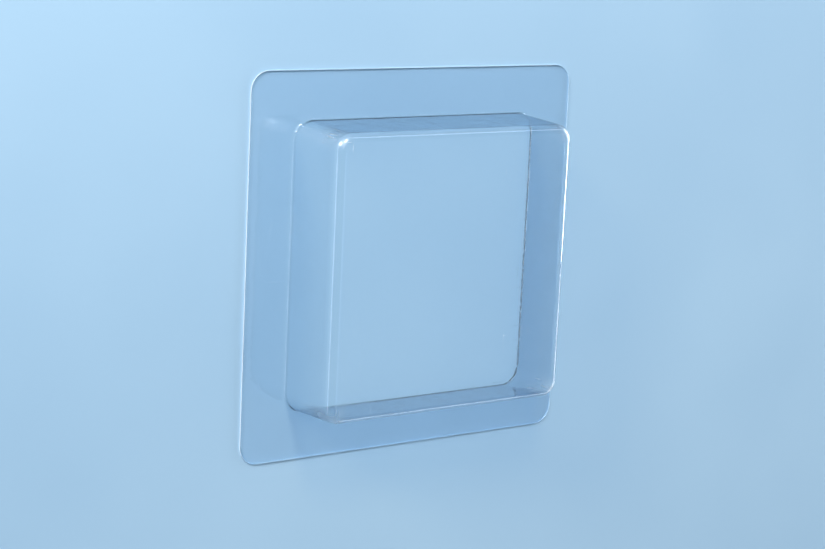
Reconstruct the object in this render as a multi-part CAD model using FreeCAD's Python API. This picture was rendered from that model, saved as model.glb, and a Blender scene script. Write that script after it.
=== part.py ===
import FreeCAD, Part
import math
import os

# Clear blister pack shell: one sheet of plastic, vacuum formed into a square
# display dome inside a flat square flange. The dome is open at the back, where
# the goods go in before the flange is sealed to a card.
# Millimetres. The flange lies on z = 0 and the dome rises along +Z. The origin
# is the middle of the flange's back face.

os.makedirs("parts", exist_ok=True)

# Flat flange, as trimmed by the die
flange_side = 127.0
flange_corner_radius = 6.35
flange_thickness = 0.5

# Dome, measured outside. Its side is where the wall runs into the flange's
# front face, and its height is from the flange's back to the front face.
dome_side = 95.2
dome_corner_radius = 6.75
dome_height = 25.4
dome_draft_deg = 3.0
front_edge_radius = 3.2
root_radius = 1.0

# The sheet is drawn thinner where it stretches
wall_thickness = 0.28
front_thickness = 0.34

# Half way across the flange: the root bend and the opening lie inside it
mid_flange_half = (dome_side + flange_side) / 4
tolerance = 1e-4


def rounded_square(side, corner_radius, z):
    """A closed wire: four straight sides joined by quarter arcs."""
    half = side / 2
    centre = half - corner_radius
    edges = []
    for quarter in range(4):
        turn = math.radians(90 * quarter)
        across = FreeCAD.Vector(math.cos(turn), math.sin(turn), 0)
        along = FreeCAD.Vector(-math.sin(turn), math.cos(turn), 0)
        height = FreeCAD.Vector(0, 0, z)
        low = across * half - along * centre + height
        high = across * half + along * centre + height
        after = across * centre + along * half + height
        diagonal = (across + along) * (centre + corner_radius * math.sqrt(0.5))
        edges.append(Part.LineSegment(low, high).toShape())
        edges.append(Part.Arc(high, diagonal + height, after).toShape())
    return Part.Wire(edges)


def edges_at(shape, z, largest_half):
    """Every edge that lies flat at height z, no further out than largest_half."""
    found = []
    for edge in shape.Edges:
        box = edge.BoundBox
        flat = abs(box.ZMin - z) < tolerance and abs(box.ZMax - z) < tolerance
        inside = max(abs(box.XMin), abs(box.XMax), abs(box.YMin), abs(box.YMax)) < largest_half
        if flat and inside:
            found.append(edge)
    return found


def drafted_block(side_at_zero, corner_at_zero, z_low, z_high):
    """A square block whose walls lean in with the draft. Its corners are cones,
    so each one gets sharper towards the front."""
    lean = math.tan(math.radians(dome_draft_deg))
    sections = []
    for z in (z_low, z_high):
        offset = z * lean
        sections.append(rounded_square(side_at_zero - 2 * offset, corner_at_zero - offset, z))
    return Part.makeLoft(sections, True, True)


def mould_side(z_low, depth_of_sheet, top_z, edge_radius):
    """One face of the drawn sheet as a solid: the outside form, or the inside
    form when depth_of_sheet takes the wall away. Its front edge is rounded."""
    draft = math.radians(dome_draft_deg)
    # the side is stated at the flange's front face, so it is carried down to z = 0
    carried = flange_thickness * math.tan(draft)
    inset = depth_of_sheet / math.cos(draft)
    side_at_zero = dome_side + 2 * carried - 2 * inset
    corner_at_zero = dome_corner_radius + carried - inset
    block = drafted_block(side_at_zero, corner_at_zero, z_low, top_z)
    return block.makeFillet(edge_radius, edges_at(block, top_z, flange_side))


def flange_plate():
    """The flat border, before the dome's opening is cut in it."""
    outline = rounded_square(flange_side, flange_corner_radius, 0)
    return Part.Face(outline).extrude(FreeCAD.Vector(0, 0, flange_thickness))


def formed_shell():
    """The whole sheet: flange, root bend, drafted walls, rounded front."""
    outside = mould_side(0, 0, dome_height, front_edge_radius)
    body = flange_plate().fuse(outside).removeSplitter()
    root_edges = edges_at(body, flange_thickness, mid_flange_half)
    body = body.makeFillet(root_radius, root_edges)

    inside = mould_side(
        -flange_thickness,
        wall_thickness,
        dome_height - front_thickness,
        front_edge_radius - wall_thickness,
    )
    sheet = body.cut(inside)
    # the back of the bend follows the front of it, one sheet thickness away
    back_edges = edges_at(sheet, 0, mid_flange_half)
    sheet = sheet.makeFillet(root_radius + flange_thickness, back_edges)
    return sheet.Solids[0]


shell = formed_shell()
shell.exportStep("parts/clear_shell.step")
print("clear_shell", shell.isValid(), "solids", len(shell.Solids), "faces", len(shell.Faces))
print("volume mm3", round(shell.Volume, 1), "area mm2", round(shell.Area, 1))
print("box", shell.BoundBox)
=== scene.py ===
import math

import bmesh
import bpy
from mathutils import Matrix, Vector


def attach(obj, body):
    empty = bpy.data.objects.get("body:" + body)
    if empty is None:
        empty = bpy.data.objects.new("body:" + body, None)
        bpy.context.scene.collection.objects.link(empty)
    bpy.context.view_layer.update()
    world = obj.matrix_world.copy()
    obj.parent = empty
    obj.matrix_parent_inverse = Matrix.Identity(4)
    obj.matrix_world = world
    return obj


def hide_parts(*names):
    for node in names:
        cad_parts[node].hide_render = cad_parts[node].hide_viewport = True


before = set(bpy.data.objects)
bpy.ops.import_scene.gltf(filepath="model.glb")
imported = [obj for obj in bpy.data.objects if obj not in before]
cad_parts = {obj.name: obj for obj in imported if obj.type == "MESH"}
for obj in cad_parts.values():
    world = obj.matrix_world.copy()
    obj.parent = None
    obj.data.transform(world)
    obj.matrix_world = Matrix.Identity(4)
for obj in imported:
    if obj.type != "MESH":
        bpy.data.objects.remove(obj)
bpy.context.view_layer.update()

mm = 0.001


# Shader maths: a socket that can be added, multiplied and so on

class Sock:
    def __init__(self, tree, socket):
        self.tree = tree
        self.socket = socket

    def math(self, operation, first, second=None):
        node = self.tree.nodes.new("ShaderNodeMath")
        node.operation = operation
        for slotIndex, value in enumerate((first, second)):
            if isinstance(value, Sock):
                self.tree.links.new(value.socket, node.inputs[slotIndex])
            elif value is not None:
                node.inputs[slotIndex].default_value = value
        return Sock(self.tree, node.outputs[0])

    def beside(self, output):  # another output of the same node
        return Sock(self.tree, self.socket.node.outputs[output])

    def absolute(self):
        return self.math("ABSOLUTE", self)

    def smaller(self, other):
        return self.math("MINIMUM", self, other)

    def __add__(self, other):
        return self.math("ADD", self, other)

    def __radd__(self, other):
        return self.math("ADD", other, self)

    def __sub__(self, other):
        return self.math("SUBTRACT", self, other)

    def __rsub__(self, other):
        return self.math("SUBTRACT", other, self)

    def __mul__(self, other):
        return self.math("MULTIPLY", self, other)

    def __rmul__(self, other):
        return self.math("MULTIPLY", other, self)

    def __pow__(self, other):
        return self.math("POWER", self, other)


class Shader:
    def __init__(self, owner):  # a material or a world
        owner.use_nodes = True
        self.tree = owner.node_tree
        self.tree.nodes.clear()

    def node(self, kind, settings=None, output=0, **values):
        made = self.tree.nodes.new(kind)
        for key, value in (settings or {}).items():  # settings come first, because they change the sockets
            setattr(made, key, value)
        for key, value in values.items():
            byNumber = key[0] == "i" and key[1:].isdigit()
            socket = made.inputs[int(key[1:]) if byNumber else key.replace("_", " ")]
            if isinstance(value, Sock):
                self.tree.links.new(value.socket, socket)
            else:
                socket.default_value = value
        return Sock(self.tree, made.outputs[output]) if made.outputs else None

    def objectPlace(self):
        return self.node("ShaderNodeTexCoord", output="Object")

    def mixColour(self, factor, first, second):  # by number, because the node's sockets share their names
        return self.node("ShaderNodeMix", {"data_type": "RGBA"}, output=2, i0=factor, i6=first, i7=second)

    def noise(self, vector, scale, detail=2.0, roughness=0.5):
        return self.node("ShaderNodeTexNoise", Vector=vector, Scale=scale, Detail=detail, Roughness=roughness)

    def ramp(self, value, low, high):  # 0 below low, 1 above high, smooth between
        return self.node(
            "ShaderNodeMapRange", {"interpolation_type": "SMOOTHSTEP"},
            Value=value, From_Min=low, From_Max=high,
        )

    def edgeOn(self, blend):  # 0 seen square on, 1 seen along the surface
        return self.node("ShaderNodeLayerWeight", Blend=blend, output="Facing") ** 2.0


# Camera: the photograph's view of the pack, fitted to its edge lines

cameraSet = {
    "place": (-0.390825, 0.127366, 0.547899),
    "target": (0.001428, -0.005597, 0.0),
    "rollDegrees": -2.738,
    "lens": 89.879,
    "sensor": 36.0,
}


def addCamera(s):
    data = bpy.data.cameras.new("photoCamera")
    data.lens = s["lens"]
    data.sensor_width = s["sensor"]
    data.clip_start = 0.01
    camera = bpy.data.objects.new("photoCamera", data)
    bpy.context.scene.collection.objects.link(camera)
    ahead = (Vector(s["target"]) - Vector(s["place"])).normalized()
    right = ahead.cross(Vector((0, 1, 0))).normalized()
    right = Matrix.Rotation(math.radians(s["rollDegrees"]), 3, ahead) @ right
    up = right.cross(ahead)
    camera.matrix_world = Matrix.Translation(s["place"]) @ Matrix((right, up, -ahead)).transposed().to_4x4()
    bpy.context.scene.camera = camera


addCamera(cameraSet)
print("camera placed")


# Edit mode helpers

def deselectAll():
    if bpy.context.mode != "OBJECT":
        bpy.ops.object.mode_set(mode="OBJECT")
    bpy.ops.object.select_all(action="DESELECT")


def pick(piece, kind, test):  # selects the vertices, edges or faces that pass the test
    mesh = bmesh.from_edit_mesh(piece.data)
    for sequence in (mesh.faces, mesh.edges, mesh.verts):
        for element in sequence:
            element.select = False
    mesh.select_mode = {kind}
    for element in {"VERT": mesh.verts, "EDGE": mesh.edges, "FACE": mesh.faces}[kind]:
        element.select = test(element)
    mesh.select_flush_mode()
    bmesh.update_edit_mesh(piece.data)


def roundOff(offset, cuts, affect="EDGES"):  # what is selected, with a round profile
    bpy.ops.mesh.bevel(offset=offset, offset_type="OFFSET", segments=cuts, affect=affect, profile=0.5)


def roundedPlane(name, side, z, cornerRadius, cornerCuts):  # left in edit mode
    deselectAll()
    bpy.ops.mesh.primitive_plane_add(size=side, location=(0, 0, z))
    plane = bpy.context.object
    plane.name = plane.data.name = name
    bpy.ops.object.transform_apply(location=True, rotation=False, scale=False)
    bpy.ops.object.mode_set(mode="EDIT")
    bpy.ops.mesh.select_all(action="SELECT")
    roundOff(cornerRadius, cornerCuts, affect="VERTICES")
    return plane


# The formed sheet, modelled as its outer skin and then given its wall

shellForm = {
    "flangeSide": 127.0 * mm,
    "flangeCorner": 6.35 * mm,
    "flangeSheet": 0.5 * mm,
    "domeSide": 95.2 * mm,  # outside, at the flange's front face
    "domeCorner": 6.75 * mm,
    "domeHeight": 25.4 * mm,
    "draftDegrees": 3.0,
    "frontBend": 3.2 * mm,
    "rootBend": 1.0 * mm,
    "wallSheet": 0.28 * mm,
    "frontSheet": 0.34 * mm,
    "cutEdgeBreak": 0.05 * mm,
    "cornerCuts": 16,
    "sideParts": 24,
    "wallCuts": 15,
    "flangeCuts": 9,
    "frontBendCuts": 14,
    "rootBendCuts": 6,
    "cutEdgeCuts": 2,
    "rimDrop": 50.0 * mm,
    "smoothDegrees": 40.0,
}

# How far each area has sunk, rippled or lifted as it cooled, and the size of its waves
shellUnevenness = {
    "frontDish": 0.30 * mm,
    "frontWave": 34.0 * mm,
    "frontMargin": 2.0 * mm,  # flat beside the bend
    "frontFade": 14.0 * mm,
    "wallRipple": 0.10 * mm,
    "wallWave": 11.0 * mm,
    "wallRootFade": (1.5 * mm, 7.0 * mm),  # up from the flange
    "wallFrontFade": (7.0 * mm, 3.0 * mm),  # down from the front
    "flangeLift": 0.30 * mm,
    "flangeWave": 38.0 * mm,
    "flangeMargin": 2.0 * mm,
}


def bendOffset(radius, draftDegrees):  # how far a bend of this radius runs from its sharp edge
    return radius * math.tan(math.radians(90 - draftDegrees) / 2)


def modelDome(s, close):  # drafted walls and a rounded front on a square base, left in edit mode
    top, base = s["domeHeight"], s["flangeSheet"]
    dome = roundedPlane("clearSheetShell", s["domeSide"], base, s["domeCorner"], s["cornerCuts"])
    # an even inset leaves conical corners that get sharper upwards
    lean = (top - base) * math.tan(math.radians(s["draftDegrees"]))
    bpy.ops.mesh.select_all(action="SELECT")
    bpy.ops.mesh.inset(thickness=lean, depth=top - base, use_even_offset=True)
    pick(dome, "EDGE", lambda edge: all(v.co.z > top - close for v in edge.verts))
    roundOff(bendOffset(s["frontBend"], s["draftDegrees"]), s["frontBendCuts"])
    return dome


def joinFlange(skin, s, close):  # a rim loop is bridged from below, where it can't twist, and then raised
    base = s["flangeSheet"]
    rim = roundedPlane("rimLoop", s["flangeSide"], base - s["rimDrop"], s["flangeCorner"], s["cornerCuts"])
    bpy.ops.mesh.select_all(action="SELECT")
    bpy.ops.mesh.delete(type="ONLY_FACE")
    deselectAll()
    rim.select_set(True)
    skin.select_set(True)
    bpy.context.view_layer.objects.active = skin
    bpy.ops.object.join()
    bpy.ops.object.mode_set(mode="EDIT")
    pick(skin, "EDGE", lambda edge: all(v.co.z < base + close for v in edge.verts))
    bpy.ops.mesh.bridge_edge_loops()
    pick(skin, "VERT", lambda vert: vert.co.z < 0)
    bpy.ops.transform.translate(value=(0, 0, s["rimDrop"]))
    # root bend between the walls and the flange
    rootHalf = s["domeSide"] / 2 + close
    pick(skin, "EDGE", lambda edge: all(
        abs(v.co.z - base) < close and max(abs(v.co.x), abs(v.co.y)) < rootHalf for v in edge.verts
    ))
    roundOff(bendOffset(s["rootBend"], s["draftDegrees"]), s["rootBendCuts"])


def divideSkin(skin, s, close):  # the front is filled again as a grid, and the long quads are divided
    top, base = s["domeHeight"], s["flangeSheet"]
    pick(skin, "FACE", lambda face: len(face.verts) > 4)
    bpy.ops.mesh.delete(type="ONLY_FACE")
    pick(skin, "EDGE", lambda edge: edge.calc_length() > s["domeSide"] / 2)
    bpy.ops.mesh.subdivide(number_cuts=s["sideParts"] - 1)
    pick(skin, "EDGE", lambda edge: abs(edge.verts[0].co.z - edge.verts[1].co.z) > top / 2)
    bpy.ops.mesh.subdivide(number_cuts=s["wallCuts"])
    flangeWidth = (s["flangeSide"] - s["domeSide"]) / 2
    pick(skin, "EDGE", lambda edge: (
        all(abs(v.co.z - base) < close for v in edge.verts) and edge.calc_length() > flangeWidth * 0.75
    ))
    bpy.ops.mesh.subdivide(number_cuts=s["flangeCuts"])
    pick(skin, "EDGE", lambda edge: edge.is_boundary and edge.verts[0].co.z > top / 2)
    bpy.ops.mesh.fill_grid(span=s["sideParts"] + s["cornerCuts"], offset=1)


def modelSkin(s):  # dome and flange as one open skin, all in quads, facing outwards
    close = 0.001 * mm
    skin = modelDome(s, close)
    joinFlange(skin, s, close)
    divideSkin(skin, s, close)
    bpy.ops.mesh.select_all(action="SELECT")
    bpy.ops.mesh.remove_doubles(threshold=close)
    bpy.ops.mesh.normals_make_consistent(inside=False)
    bpy.ops.object.mode_set(mode="OBJECT")
    return skin


def blendBetween(value, low, high):
    share = min(1.0, max(0.0, (value - low) / (high - low)))
    return share * share * (3 - 2 * share)


def weightSkin(skin, s, u):  # how thick the sheet is, and where it has sunk, rippled or lifted
    groups = {name: skin.vertex_groups.new(name=name) for name in ("sheet", "front", "walls", "flange")}
    top, base = s["domeHeight"], s["flangeSheet"]
    domeHalf, flangeHalf = s["domeSide"] / 2, s["flangeSide"] / 2
    frontHalf = domeHalf - s["frontBend"] - u["frontMargin"]
    wall = s["wallSheet"] / s["flangeSheet"]
    front = s["frontSheet"] / s["flangeSheet"]
    level = 0.1 * mm
    for vertex in skin.data.vertices:
        x, y, z = vertex.co
        out = max(abs(x), abs(y))
        climbed = blendBetween(z, base, base + s["rootBend"])  # the sheet thins in the root bend
        crossed = blendBetween(z, top - s["frontBend"], top)  # and is a little thicker again on the front
        drawn = 1.0 + (wall - 1.0) * climbed
        onFront = blendBetween(frontHalf - out, 0.0, u["frontFade"]) if z > top - level else 0.0
        aboveRoot = blendBetween(z, base + u["wallRootFade"][0], base + u["wallRootFade"][1])
        nearFront = blendBetween(z, top - u["wallFrontFade"][0], top - u["wallFrontFade"][1])
        inCorner = blendBetween(min(abs(x), abs(y)), frontHalf - s["domeCorner"], frontHalf)  # stays stiff
        onFlange = blendBetween(out, domeHalf + u["flangeMargin"], flangeHalf) if z < base + level else 0.0
        weights = {
            "sheet": drawn + (front - drawn) * crossed,
            "front": onFront,
            "walls": aboveRoot * (1 - nearFront) * (1 - inCorner),
            "flange": onFlange,
        }
        for name, weight in weights.items():
            groups[name].add([vertex.index], weight, "REPLACE")


def displace(skin, group, size, strength, middle, direction, depth=1):  # uneven by a cloud pattern
    pattern = bpy.data.textures.new(group + "Unevenness", "CLOUDS")
    pattern.noise_scale = size
    pattern.noise_depth = depth
    modifier = skin.modifiers.new(group + "Uneven", "DISPLACE")
    modifier.texture = pattern
    modifier.texture_coords = "LOCAL"
    modifier.vertex_group = group
    modifier.direction = direction
    modifier.mid_level = middle
    modifier.strength = strength
    bpy.ops.object.modifier_apply(modifier=modifier.name)


def giveWall(skin, s, u):  # unevenness first, then the wall and a broken cut edge
    deselectAll()
    skin.select_set(True)
    bpy.context.view_layer.objects.active = skin
    displace(skin, "front", u["frontWave"], -u["frontDish"], middle=0.0, direction="Z")
    displace(skin, "walls", u["wallWave"], u["wallRipple"], middle=0.5, direction="NORMAL", depth=2)
    displace(skin, "flange", u["flangeWave"], u["flangeLift"], middle=0.35, direction="Z")
    solid = skin.modifiers.new("sheetWall", "SOLIDIFY")
    solid.thickness = s["flangeSheet"]
    solid.offset = -1
    solid.use_even_offset = True
    solid.use_quality_normals = True
    solid.use_rim = True
    solid.vertex_group = "sheet"
    solid.thickness_vertex_group = 0.0
    solid.material_offset_rim = 1
    bpy.ops.object.modifier_apply(modifier=solid.name)
    bpy.ops.object.mode_set(mode="EDIT")
    pick(skin, "EDGE", lambda edge: len({face.material_index for face in edge.link_faces}) == 2)
    roundOff(s["cutEdgeBreak"], s["cutEdgeCuts"])
    bpy.ops.object.mode_set(mode="OBJECT")
    # nothing hangs below the surface that the flange lies on, or passes the trimmed size
    half = s["flangeSide"] / 2
    for vertex in skin.data.vertices:
        vertex.co.x = min(max(vertex.co.x, -half), half)
        vertex.co.y = min(max(vertex.co.y, -half), half)
        vertex.co.z = min(max(vertex.co.z, 0.0), s["domeHeight"])
    skin.vertex_groups.clear()
    bpy.ops.object.shade_smooth_by_angle(angle=math.radians(s["smoothDegrees"]))


# Clear sheet: smooth glossy plastic with haze, forming streaks, ripples and fine scuffs

clearSheetLook = {
    "tint": (0.925, 0.960, 0.982, 1.0),
    "edgeOnShadeTint": (0.06, 0.21, 0.40, 1.0),  # painted shade where the sheet is seen edge on, over the slightly deeper tint of the longer path through it
    "edgeOnShadeTintBlend": 0.5,
    "index": 1.57,
    "roughness": 0.025,
    "shadowTint": (0.955, 0.972, 0.985, 1.0),
    "shadowDeep": (0.45, 0.62, 0.78, 1.0),
    "shadowBlend": 0.35,
    # long soft streaks up the walls, where the sheet was drawn over the mould
    "streakScale": 420.0,
    "streakStretch": (1.0, 1.0, 0.06),
    "streakHeight": 0.35,
    "rippleScale": 95.0,
    "rippleHeight": 1.0,
    "grainScale": 2600.0,
    "grainHeight": 0.012,
    # hair scuffs: the peaks of a stretched noise, turned two ways
    "scuffTurns": ((0.3, 0.2, 0.9), (0.1, 0.4, -0.5)),
    "scuffStretches": ((1.0, 22.0, 1.0), (20.0, 1.0, 1.0)),
    "scuffScales": (90.0, 80.0),
    "scuffCut": (0.71, 0.74),
    "scuffHeight": -0.05,
    "scuffRoughness": 0.12,
    "smudgeScale": 38.0,
    "smudgeCut": (0.48, 0.72),
    "smudgeRoughness": 0.06,
    # the dome's four corners are drawn thinnest and turn a little milky
    "cornerFrom": (38.5 * mm, 43.5 * mm),
    "cornerRise": (4.0 * mm, 20.0 * mm),
    "cornerRoughness": 0.22,
    "bumpStrength": 0.35,
    "bumpDistance": 0.2 * mm,
}


def lampsPass(shader, surface, s):  # light reaches what is under the sheet, a little tinted
    tint = shader.mixColour(shader.edgeOn(s["shadowBlend"]), s["shadowTint"], s["shadowDeep"])
    passed = shader.node("ShaderNodeBsdfTransparent", Color=tint)
    isShadow = shader.node("ShaderNodeLightPath", output="Is Shadow Ray")
    isDiffuse = isShadow.beside("Is Diffuse Ray")
    inner = shader.node("ShaderNodeMixShader", i0=isDiffuse, i1=surface, i2=passed)
    outer = shader.node("ShaderNodeMixShader", i0=isShadow, i1=inner, i2=passed)
    shader.node("ShaderNodeOutputMaterial", Surface=outer)


def stretchedCorners(shader, place, s):
    x = shader.node("ShaderNodeSeparateXYZ", Vector=place)
    y, z = x.beside("Y"), x.beside("Z")
    nearCorner = shader.ramp(x.absolute().smaller(y.absolute()), *s["cornerFrom"])
    return nearCorner * shader.ramp(z, *s["cornerRise"])


def hairScuffs(shader, place, s):
    scuffs = 0.0
    for turn, stretch, scale in zip(s["scuffTurns"], s["scuffStretches"], s["scuffScales"]):
        turned = shader.node("ShaderNodeMapping", Vector=place, Rotation=turn, Scale=stretch)
        scuffs = shader.ramp(shader.noise(turned, scale, detail=1.0), *s["scuffCut"]) + scuffs
    return scuffs


def clearSheetMaterial(s):
    material = bpy.data.materials.new("clearSheet")
    shader = Shader(material)
    place = shader.objectPlace()
    drawn = shader.node("ShaderNodeMapping", Vector=place, Scale=s["streakStretch"])
    streaks = shader.noise(drawn, s["streakScale"])
    ripples = shader.noise(place, s["rippleScale"], detail=1.0)
    grain = shader.noise(place, s["grainScale"])
    scuffs = hairScuffs(shader, place, s)
    smudges = shader.noise(place, s["smudgeScale"], detail=3.0, roughness=0.6)
    smudges = shader.ramp(smudges, *s["smudgeCut"])
    corners = stretchedCorners(shader, place, s)
    height = streaks * s["streakHeight"] + ripples * s["rippleHeight"]
    height = height + grain * s["grainHeight"] + scuffs * s["scuffHeight"]
    bump = shader.node(
        "ShaderNodeBump", Strength=s["bumpStrength"], Distance=s["bumpDistance"], Height=height,
    )
    roughness = s["roughness"] + smudges * s["smudgeRoughness"]
    # the base colour deepens to a dark painted shade where the sheet is seen edge on; only a little of that
    # is the sheet's own tint along the longer path
    surface = shader.node(
        "ShaderNodeBsdfPrincipled",
        Base_Color=shader.mixColour(shader.edgeOn(s["edgeOnShadeTintBlend"]), s["tint"], s["edgeOnShadeTint"]),
        Roughness=roughness + scuffs * s["scuffRoughness"] + corners * s["cornerRoughness"],
        IOR=s["index"],
        Transmission_Weight=1.0,
        Normal=bump,
    )
    lampsPass(shader, surface, s)
    return material


# Cut edge: the die leaves it finely torn, so it gathers light as a thin pale line

cutEdgeLook = {
    "colour": (0.82, 0.91, 0.97, 1.0),
    "paler": (0.93, 0.97, 1.0, 1.0),
    "index": 1.57,
    "clearness": 0.25,
    "roughness": 0.32,
    "tornScale": 1500.0,
    "tornRoughness": 0.2,
    "bandScale": 60.0,
    "bumpStrength": 0.5,
    "bumpDistance": 0.1 * mm,
}


def cutEdgeMaterial(s):
    material = bpy.data.materials.new("cutSheetEdge")
    shader = Shader(material)
    place = shader.objectPlace()
    torn = shader.noise(place, s["tornScale"], detail=3.0, roughness=0.6)
    band = shader.noise(place, s["bandScale"])
    bump = shader.node(
        "ShaderNodeBump", Strength=s["bumpStrength"], Distance=s["bumpDistance"], Height=torn,
    )
    surface = shader.node(
        "ShaderNodeBsdfPrincipled",
        Base_Color=shader.mixColour(band, s["colour"], s["paler"]),
        Roughness=s["roughness"] + torn * s["tornRoughness"],
        IOR=s["index"],
        Transmission_Weight=s["clearness"],
        Normal=bump,
    )
    shader.node("ShaderNodeOutputMaterial", Surface=surface)
    return material


def buildShell(s, u):
    skin = modelSkin(s)
    skin.data.materials.clear()
    skin.data.materials.append(clearSheetMaterial(clearSheetLook))
    skin.data.materials.append(cutEdgeMaterial(cutEdgeLook))
    weightSkin(skin, s, u)
    giveWall(skin, s, u)
    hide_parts("clear_shell")
    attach(skin, "root")
    return skin


shell = buildShell(shellForm, shellUnevenness)
print("shell formed:", len(shell.data.vertices), "vertices,", len(shell.data.polygons), "faces")


# Floor: one pale cold surface

floorSet = {
    "side": 6.0,
    "gap": 0.03 * mm,  # keeps the floor clear of the flange's back
    "colour": (0.360, 0.555, 0.735, 1.0),
    "paler": (0.405, 0.605, 0.780, 1.0),
    "cloudScale": 5.0,
    "cloudCut": (0.3, 0.7),
    "roughness": 0.6,
    "specular": 0.2,
}


def addFloor(s):
    deselectAll()
    bpy.ops.mesh.primitive_plane_add(size=s["side"], location=(0, 0, -s["gap"]))
    floor = bpy.context.object
    floor.name = floor.data.name = "paleFloor"
    bpy.ops.object.transform_apply(location=True, rotation=False, scale=False)
    material = bpy.data.materials.new("paleFloorPaint")
    shader = Shader(material)
    cloud = shader.noise(shader.objectPlace(), s["cloudScale"], detail=3.0, roughness=0.55)
    cloud = shader.ramp(cloud, *s["cloudCut"])
    surface = shader.node(
        "ShaderNodeBsdfPrincipled",
        Base_Color=shader.mixColour(cloud, s["colour"], s["paler"]),
        Roughness=s["roughness"],
        Specular_IOR_Level=s["specular"],
    )
    shader.node("ShaderNodeOutputMaterial", Surface=surface)
    floor.data.materials.append(material)


addFloor(floorSet)
print("floor laid")


# World: soft light all round, and a dim cold room that only the gloss shows

worldSet = {
    "soft": (0.86, 0.93, 1.0, 1.0),
    "softStrength": 0.22,
    "roomDark": (0.020, 0.036, 0.055, 1.0),
    "roomPale": (0.10, 0.15, 0.20, 1.0),
    "roomTurn": (-0.2, 0.9),  # from dark to pale across X
    # paler patches of the room: towards, from and to which cosine, colour
    "panels": (
        ((0.571, -0.194, 0.798), 0.935, 0.945, (0.44, 0.56, 0.66, 1.0)),
        ((0.20, -0.19, 0.96), 0.990, 0.996, (1.1, 1.35, 1.6, 1.0)),
    ),
    "seen": (0.45, 0.62, 0.76, 1.0),  # straight or through the sheet
}


def addWorld(s):
    world = bpy.data.worlds.new("softStudio")
    bpy.context.scene.world = world
    shader = Shader(world)
    seen = shader.node("ShaderNodeBackground", Color=s["seen"], Strength=1.0)
    towards = shader.node("ShaderNodeTexCoord", output="Generated")
    across = shader.node("ShaderNodeSeparateXYZ", Vector=towards)
    roomColour = shader.mixColour(shader.ramp(across, *s["roomTurn"]), s["roomDark"], s["roomPale"])
    for middle, low, high, colour in s["panels"]:
        facing = shader.node(
            "ShaderNodeVectorMath", {"operation": "DOT_PRODUCT"}, output="Value", i0=towards, i1=middle,
        )
        roomColour = shader.mixColour(shader.ramp(facing, low, high), roomColour, colour)
    room = shader.node("ShaderNodeBackground", Color=roomColour, Strength=1.0)
    soft = shader.node("ShaderNodeBackground", Color=s["soft"], Strength=s["softStrength"])
    isGlossy = shader.node("ShaderNodeLightPath", output="Is Glossy Ray")
    isCamera = isGlossy.beside("Is Camera Ray")
    isTransmission = isGlossy.beside("Is Transmission Ray")
    mixed = shader.node("ShaderNodeMixShader", i0=isGlossy, i1=soft, i2=room)
    mixed = shader.node("ShaderNodeMixShader", i0=isTransmission, i1=mixed, i2=seen)
    mixed = shader.node("ShaderNodeMixShader", i0=isCamera, i1=mixed, i2=seen)
    shader.node("ShaderNodeOutputWorld", Surface=mixed)


# Lamps: one large soft one, two small bright ones for the corners, and strips along the bends
# each has its place, width, height, glow (how bright its face is) and colour

lampSets = {
    "keySoftbox": ((-0.44, 0.62, 0.64), 0.66, 0.80, 2.1, (1.0, 0.98, 0.95)),
    "lowLeft": ((-2.90, 2.32, 1.10), 0.72, 0.72, 66.0, (0.97, 0.98, 1.0)),
    "cornerSpark": ((-0.243, 0.666, 0.554), 0.17, 0.17, 46.0, (0.97, 0.98, 1.0)),
    "leftStrip": ((-1.25, -0.25, 0.16), 1.30, 0.14, 3.9, (0.90, 0.95, 1.0)),
    "rightStripFar": ((1.35, 0.22, 0.20), 0.96, 0.30, 15.0, (0.90, 0.95, 1.0)),
    "rightStripNear": ((1.35, -0.62, 0.20), 0.72, 0.30, 3.6, (0.90, 0.95, 1.0)),
    "lowerStrip": ((0.80, -1.12, 0.16), 1.20, 0.16, 3.2, (0.90, 0.95, 1.0)),
    "farStrip": ((0.72, 1.09, 0.58), 1.30, 0.14, 3.6, (0.88, 0.94, 1.0)),
}


def addLamp(name, place, width, height, glow, colour):
    data = bpy.data.lights.new(name, "AREA")
    data.shape = "RECTANGLE"
    data.size = width
    data.size_y = height
    data.energy = glow * math.pi * width * height
    data.color = colour
    lamp = bpy.data.objects.new(name, data)
    bpy.context.scene.collection.objects.link(lamp)
    lamp.location = place
    lamp.rotation_euler = (-Vector(place)).to_track_quat("-Z", "Y").to_euler()
    lamp.visible_camera = False


addWorld(worldSet)
for lampName, lampSet in lampSets.items():
    addLamp(lampName, *lampSet)
bpy.context.scene.view_settings.view_transform = "Standard"
print("lit")
